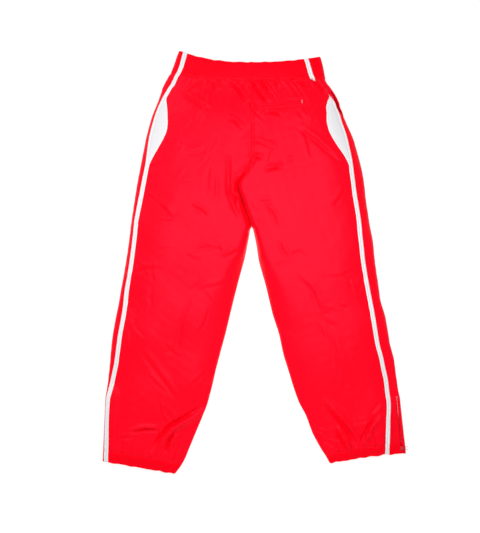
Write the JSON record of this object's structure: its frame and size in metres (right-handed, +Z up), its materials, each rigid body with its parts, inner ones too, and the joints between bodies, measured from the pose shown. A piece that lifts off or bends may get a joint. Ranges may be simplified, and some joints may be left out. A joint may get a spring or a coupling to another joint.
{
  "type": "hockey warm-up pants",
  "caption": "Woven track pants laid flat back side up, with double piped side stripes, leaf inserts at the hips, hand pockets, a zipped back pocket, elastic waist and cuffs and ankle zips.",
  "frame": {"origin": "on the floor under the middle of the garment's bounding box, as it lies flat on its front with the back side up", "axes": "+Y from the hems to the waist, +X to the wearer's right, +Z up out of the back of the pants"},
  "size_m": [0.7654, 1.0492, 0.0468],
  "materials": {
    "shell": "satin",
    "piping": "matte",
    "insert": "matte",
    "elastic": "matte",
    "facing": "matte",
    "pocketing": "matte",
    "tape": "matte",
    "coil": "satin",
    "metal": "satin",
    "enamel": "satin"
  },
  "bodies": {
    "pants": {"back_panel_left": "shell", "front_panel_left": "shell", "side_panel_left": "shell", "back_outer_piping_left": "piping", "back_inner_piping_left": "piping", "front_outer_piping_left": "piping", "front_inner_piping_left": "piping", "hip_insert_left": "insert", "cuff_elastic_left": "elastic", "cuff_facing_left": "facing", "hand_pocket_bag_left": "pocketing", "back_panel_right": "shell", "front_panel_right": "shell", "side_panel_right": "shell", "back_outer_piping_right": "piping", "back_inner_piping_right": "piping", "front_outer_piping_right": "piping", "front_inner_piping_right": "piping", "hip_insert_right": "insert", "cuff_elastic_right": "elastic", "cuff_facing_right": "facing", "hand_pocket_bag_right": "pocketing", "waist_elastic": "elastic", "waist_facing": "facing", "back_pocket_lip_upper": "shell", "back_zip_tape_upper": "tape", "back_zip_coil_upper": "coil", "back_pocket_lip_lower": "shell", "back_zip_tape_lower": "tape", "back_zip_coil_lower": "coil", "back_pocket_bag": "pocketing", "ankle_zip_tape_back_left": "tape", "ankle_zip_coil_back_left": "coil", "ankle_zip_tape_front_left": "tape", "ankle_zip_coil_front_left": "coil", "ankle_zip_stop_left": "metal", "ankle_zip_tape_back_right": "tape", "ankle_zip_coil_back_right": "coil", "ankle_zip_tape_front_right": "tape", "ankle_zip_coil_front_right": "coil", "ankle_zip_stop_right": "metal"},
    "ankle_slider_left": {"ankle_slider_left": "enamel"},
    "ankle_pull_left": {"ankle_pull_left": "enamel"},
    "ankle_ring_left": {"ankle_ring_left": "metal"},
    "ankle_slider_right": {"ankle_slider_right": "enamel"},
    "ankle_pull_right": {"ankle_pull_right": "enamel"},
    "ankle_ring_right": {"ankle_ring_right": "metal"},
    "back_pocket_slider": {"back_pocket_slider": "metal"},
    "back_pocket_pull": {"back_pocket_pull": "metal"}
  },
  "joints": [
    {"name": "ankle_zip_left", "type": "slide", "parent": "pants", "child": "ankle_slider_left", "axis": [0.0009, 1, 0], "range_m": [0, 0.128]},
    {"name": "ankle_pull_hinge_left", "type": "hinge", "parent": "ankle_slider_left", "child": "ankle_pull_left", "pos_m": [-0.36412, -0.48249, 0.00325], "axis": [-0.0009, -1, 0], "range_deg": [0, 150]},
    {"name": "ankle_ring_hinge_left", "type": "hinge", "parent": "ankle_pull_left", "child": "ankle_ring_left", "pos_m": [-0.37272, -0.48248, 0.00325], "axis": [-0.0009, -1, 0], "range_deg": [-10, 55]},
    {"name": "ankle_zip_right", "type": "slide", "parent": "pants", "child": "ankle_slider_right", "axis": [-0.0978, 0.9952, 0.0002], "range_m": [0, 0.128]},
    {"name": "ankle_pull_hinge_right", "type": "hinge", "parent": "ankle_slider_right", "child": "ankle_pull_right", "pos_m": [0.36646, -0.46976, 0.01638], "axis": [0.0978, -0.9952, -0.0002], "range_deg": [0, 150]},
    {"name": "ankle_ring_hinge_right", "type": "hinge", "parent": "ankle_pull_right", "child": "ankle_ring_right", "pos_m": [0.37492, -0.46893, 0.0151], "axis": [0.0978, -0.9952, -0.0002], "range_deg": [-50, 55]},
    {"name": "back_pocket_zip", "type": "slide", "parent": "pants", "child": "back_pocket_slider", "axis": [-0.997, -0.0758, 0.0147], "range_m": [0, 0.098]},
    {"name": "back_pull_hinge", "type": "hinge", "parent": "back_pocket_slider", "child": "back_pocket_pull", "pos_m": [0.11576, 0.39431, 0.04215], "axis": [0.997, 0.0758, -0.0147], "range_deg": [0, 170]}
  ]
}
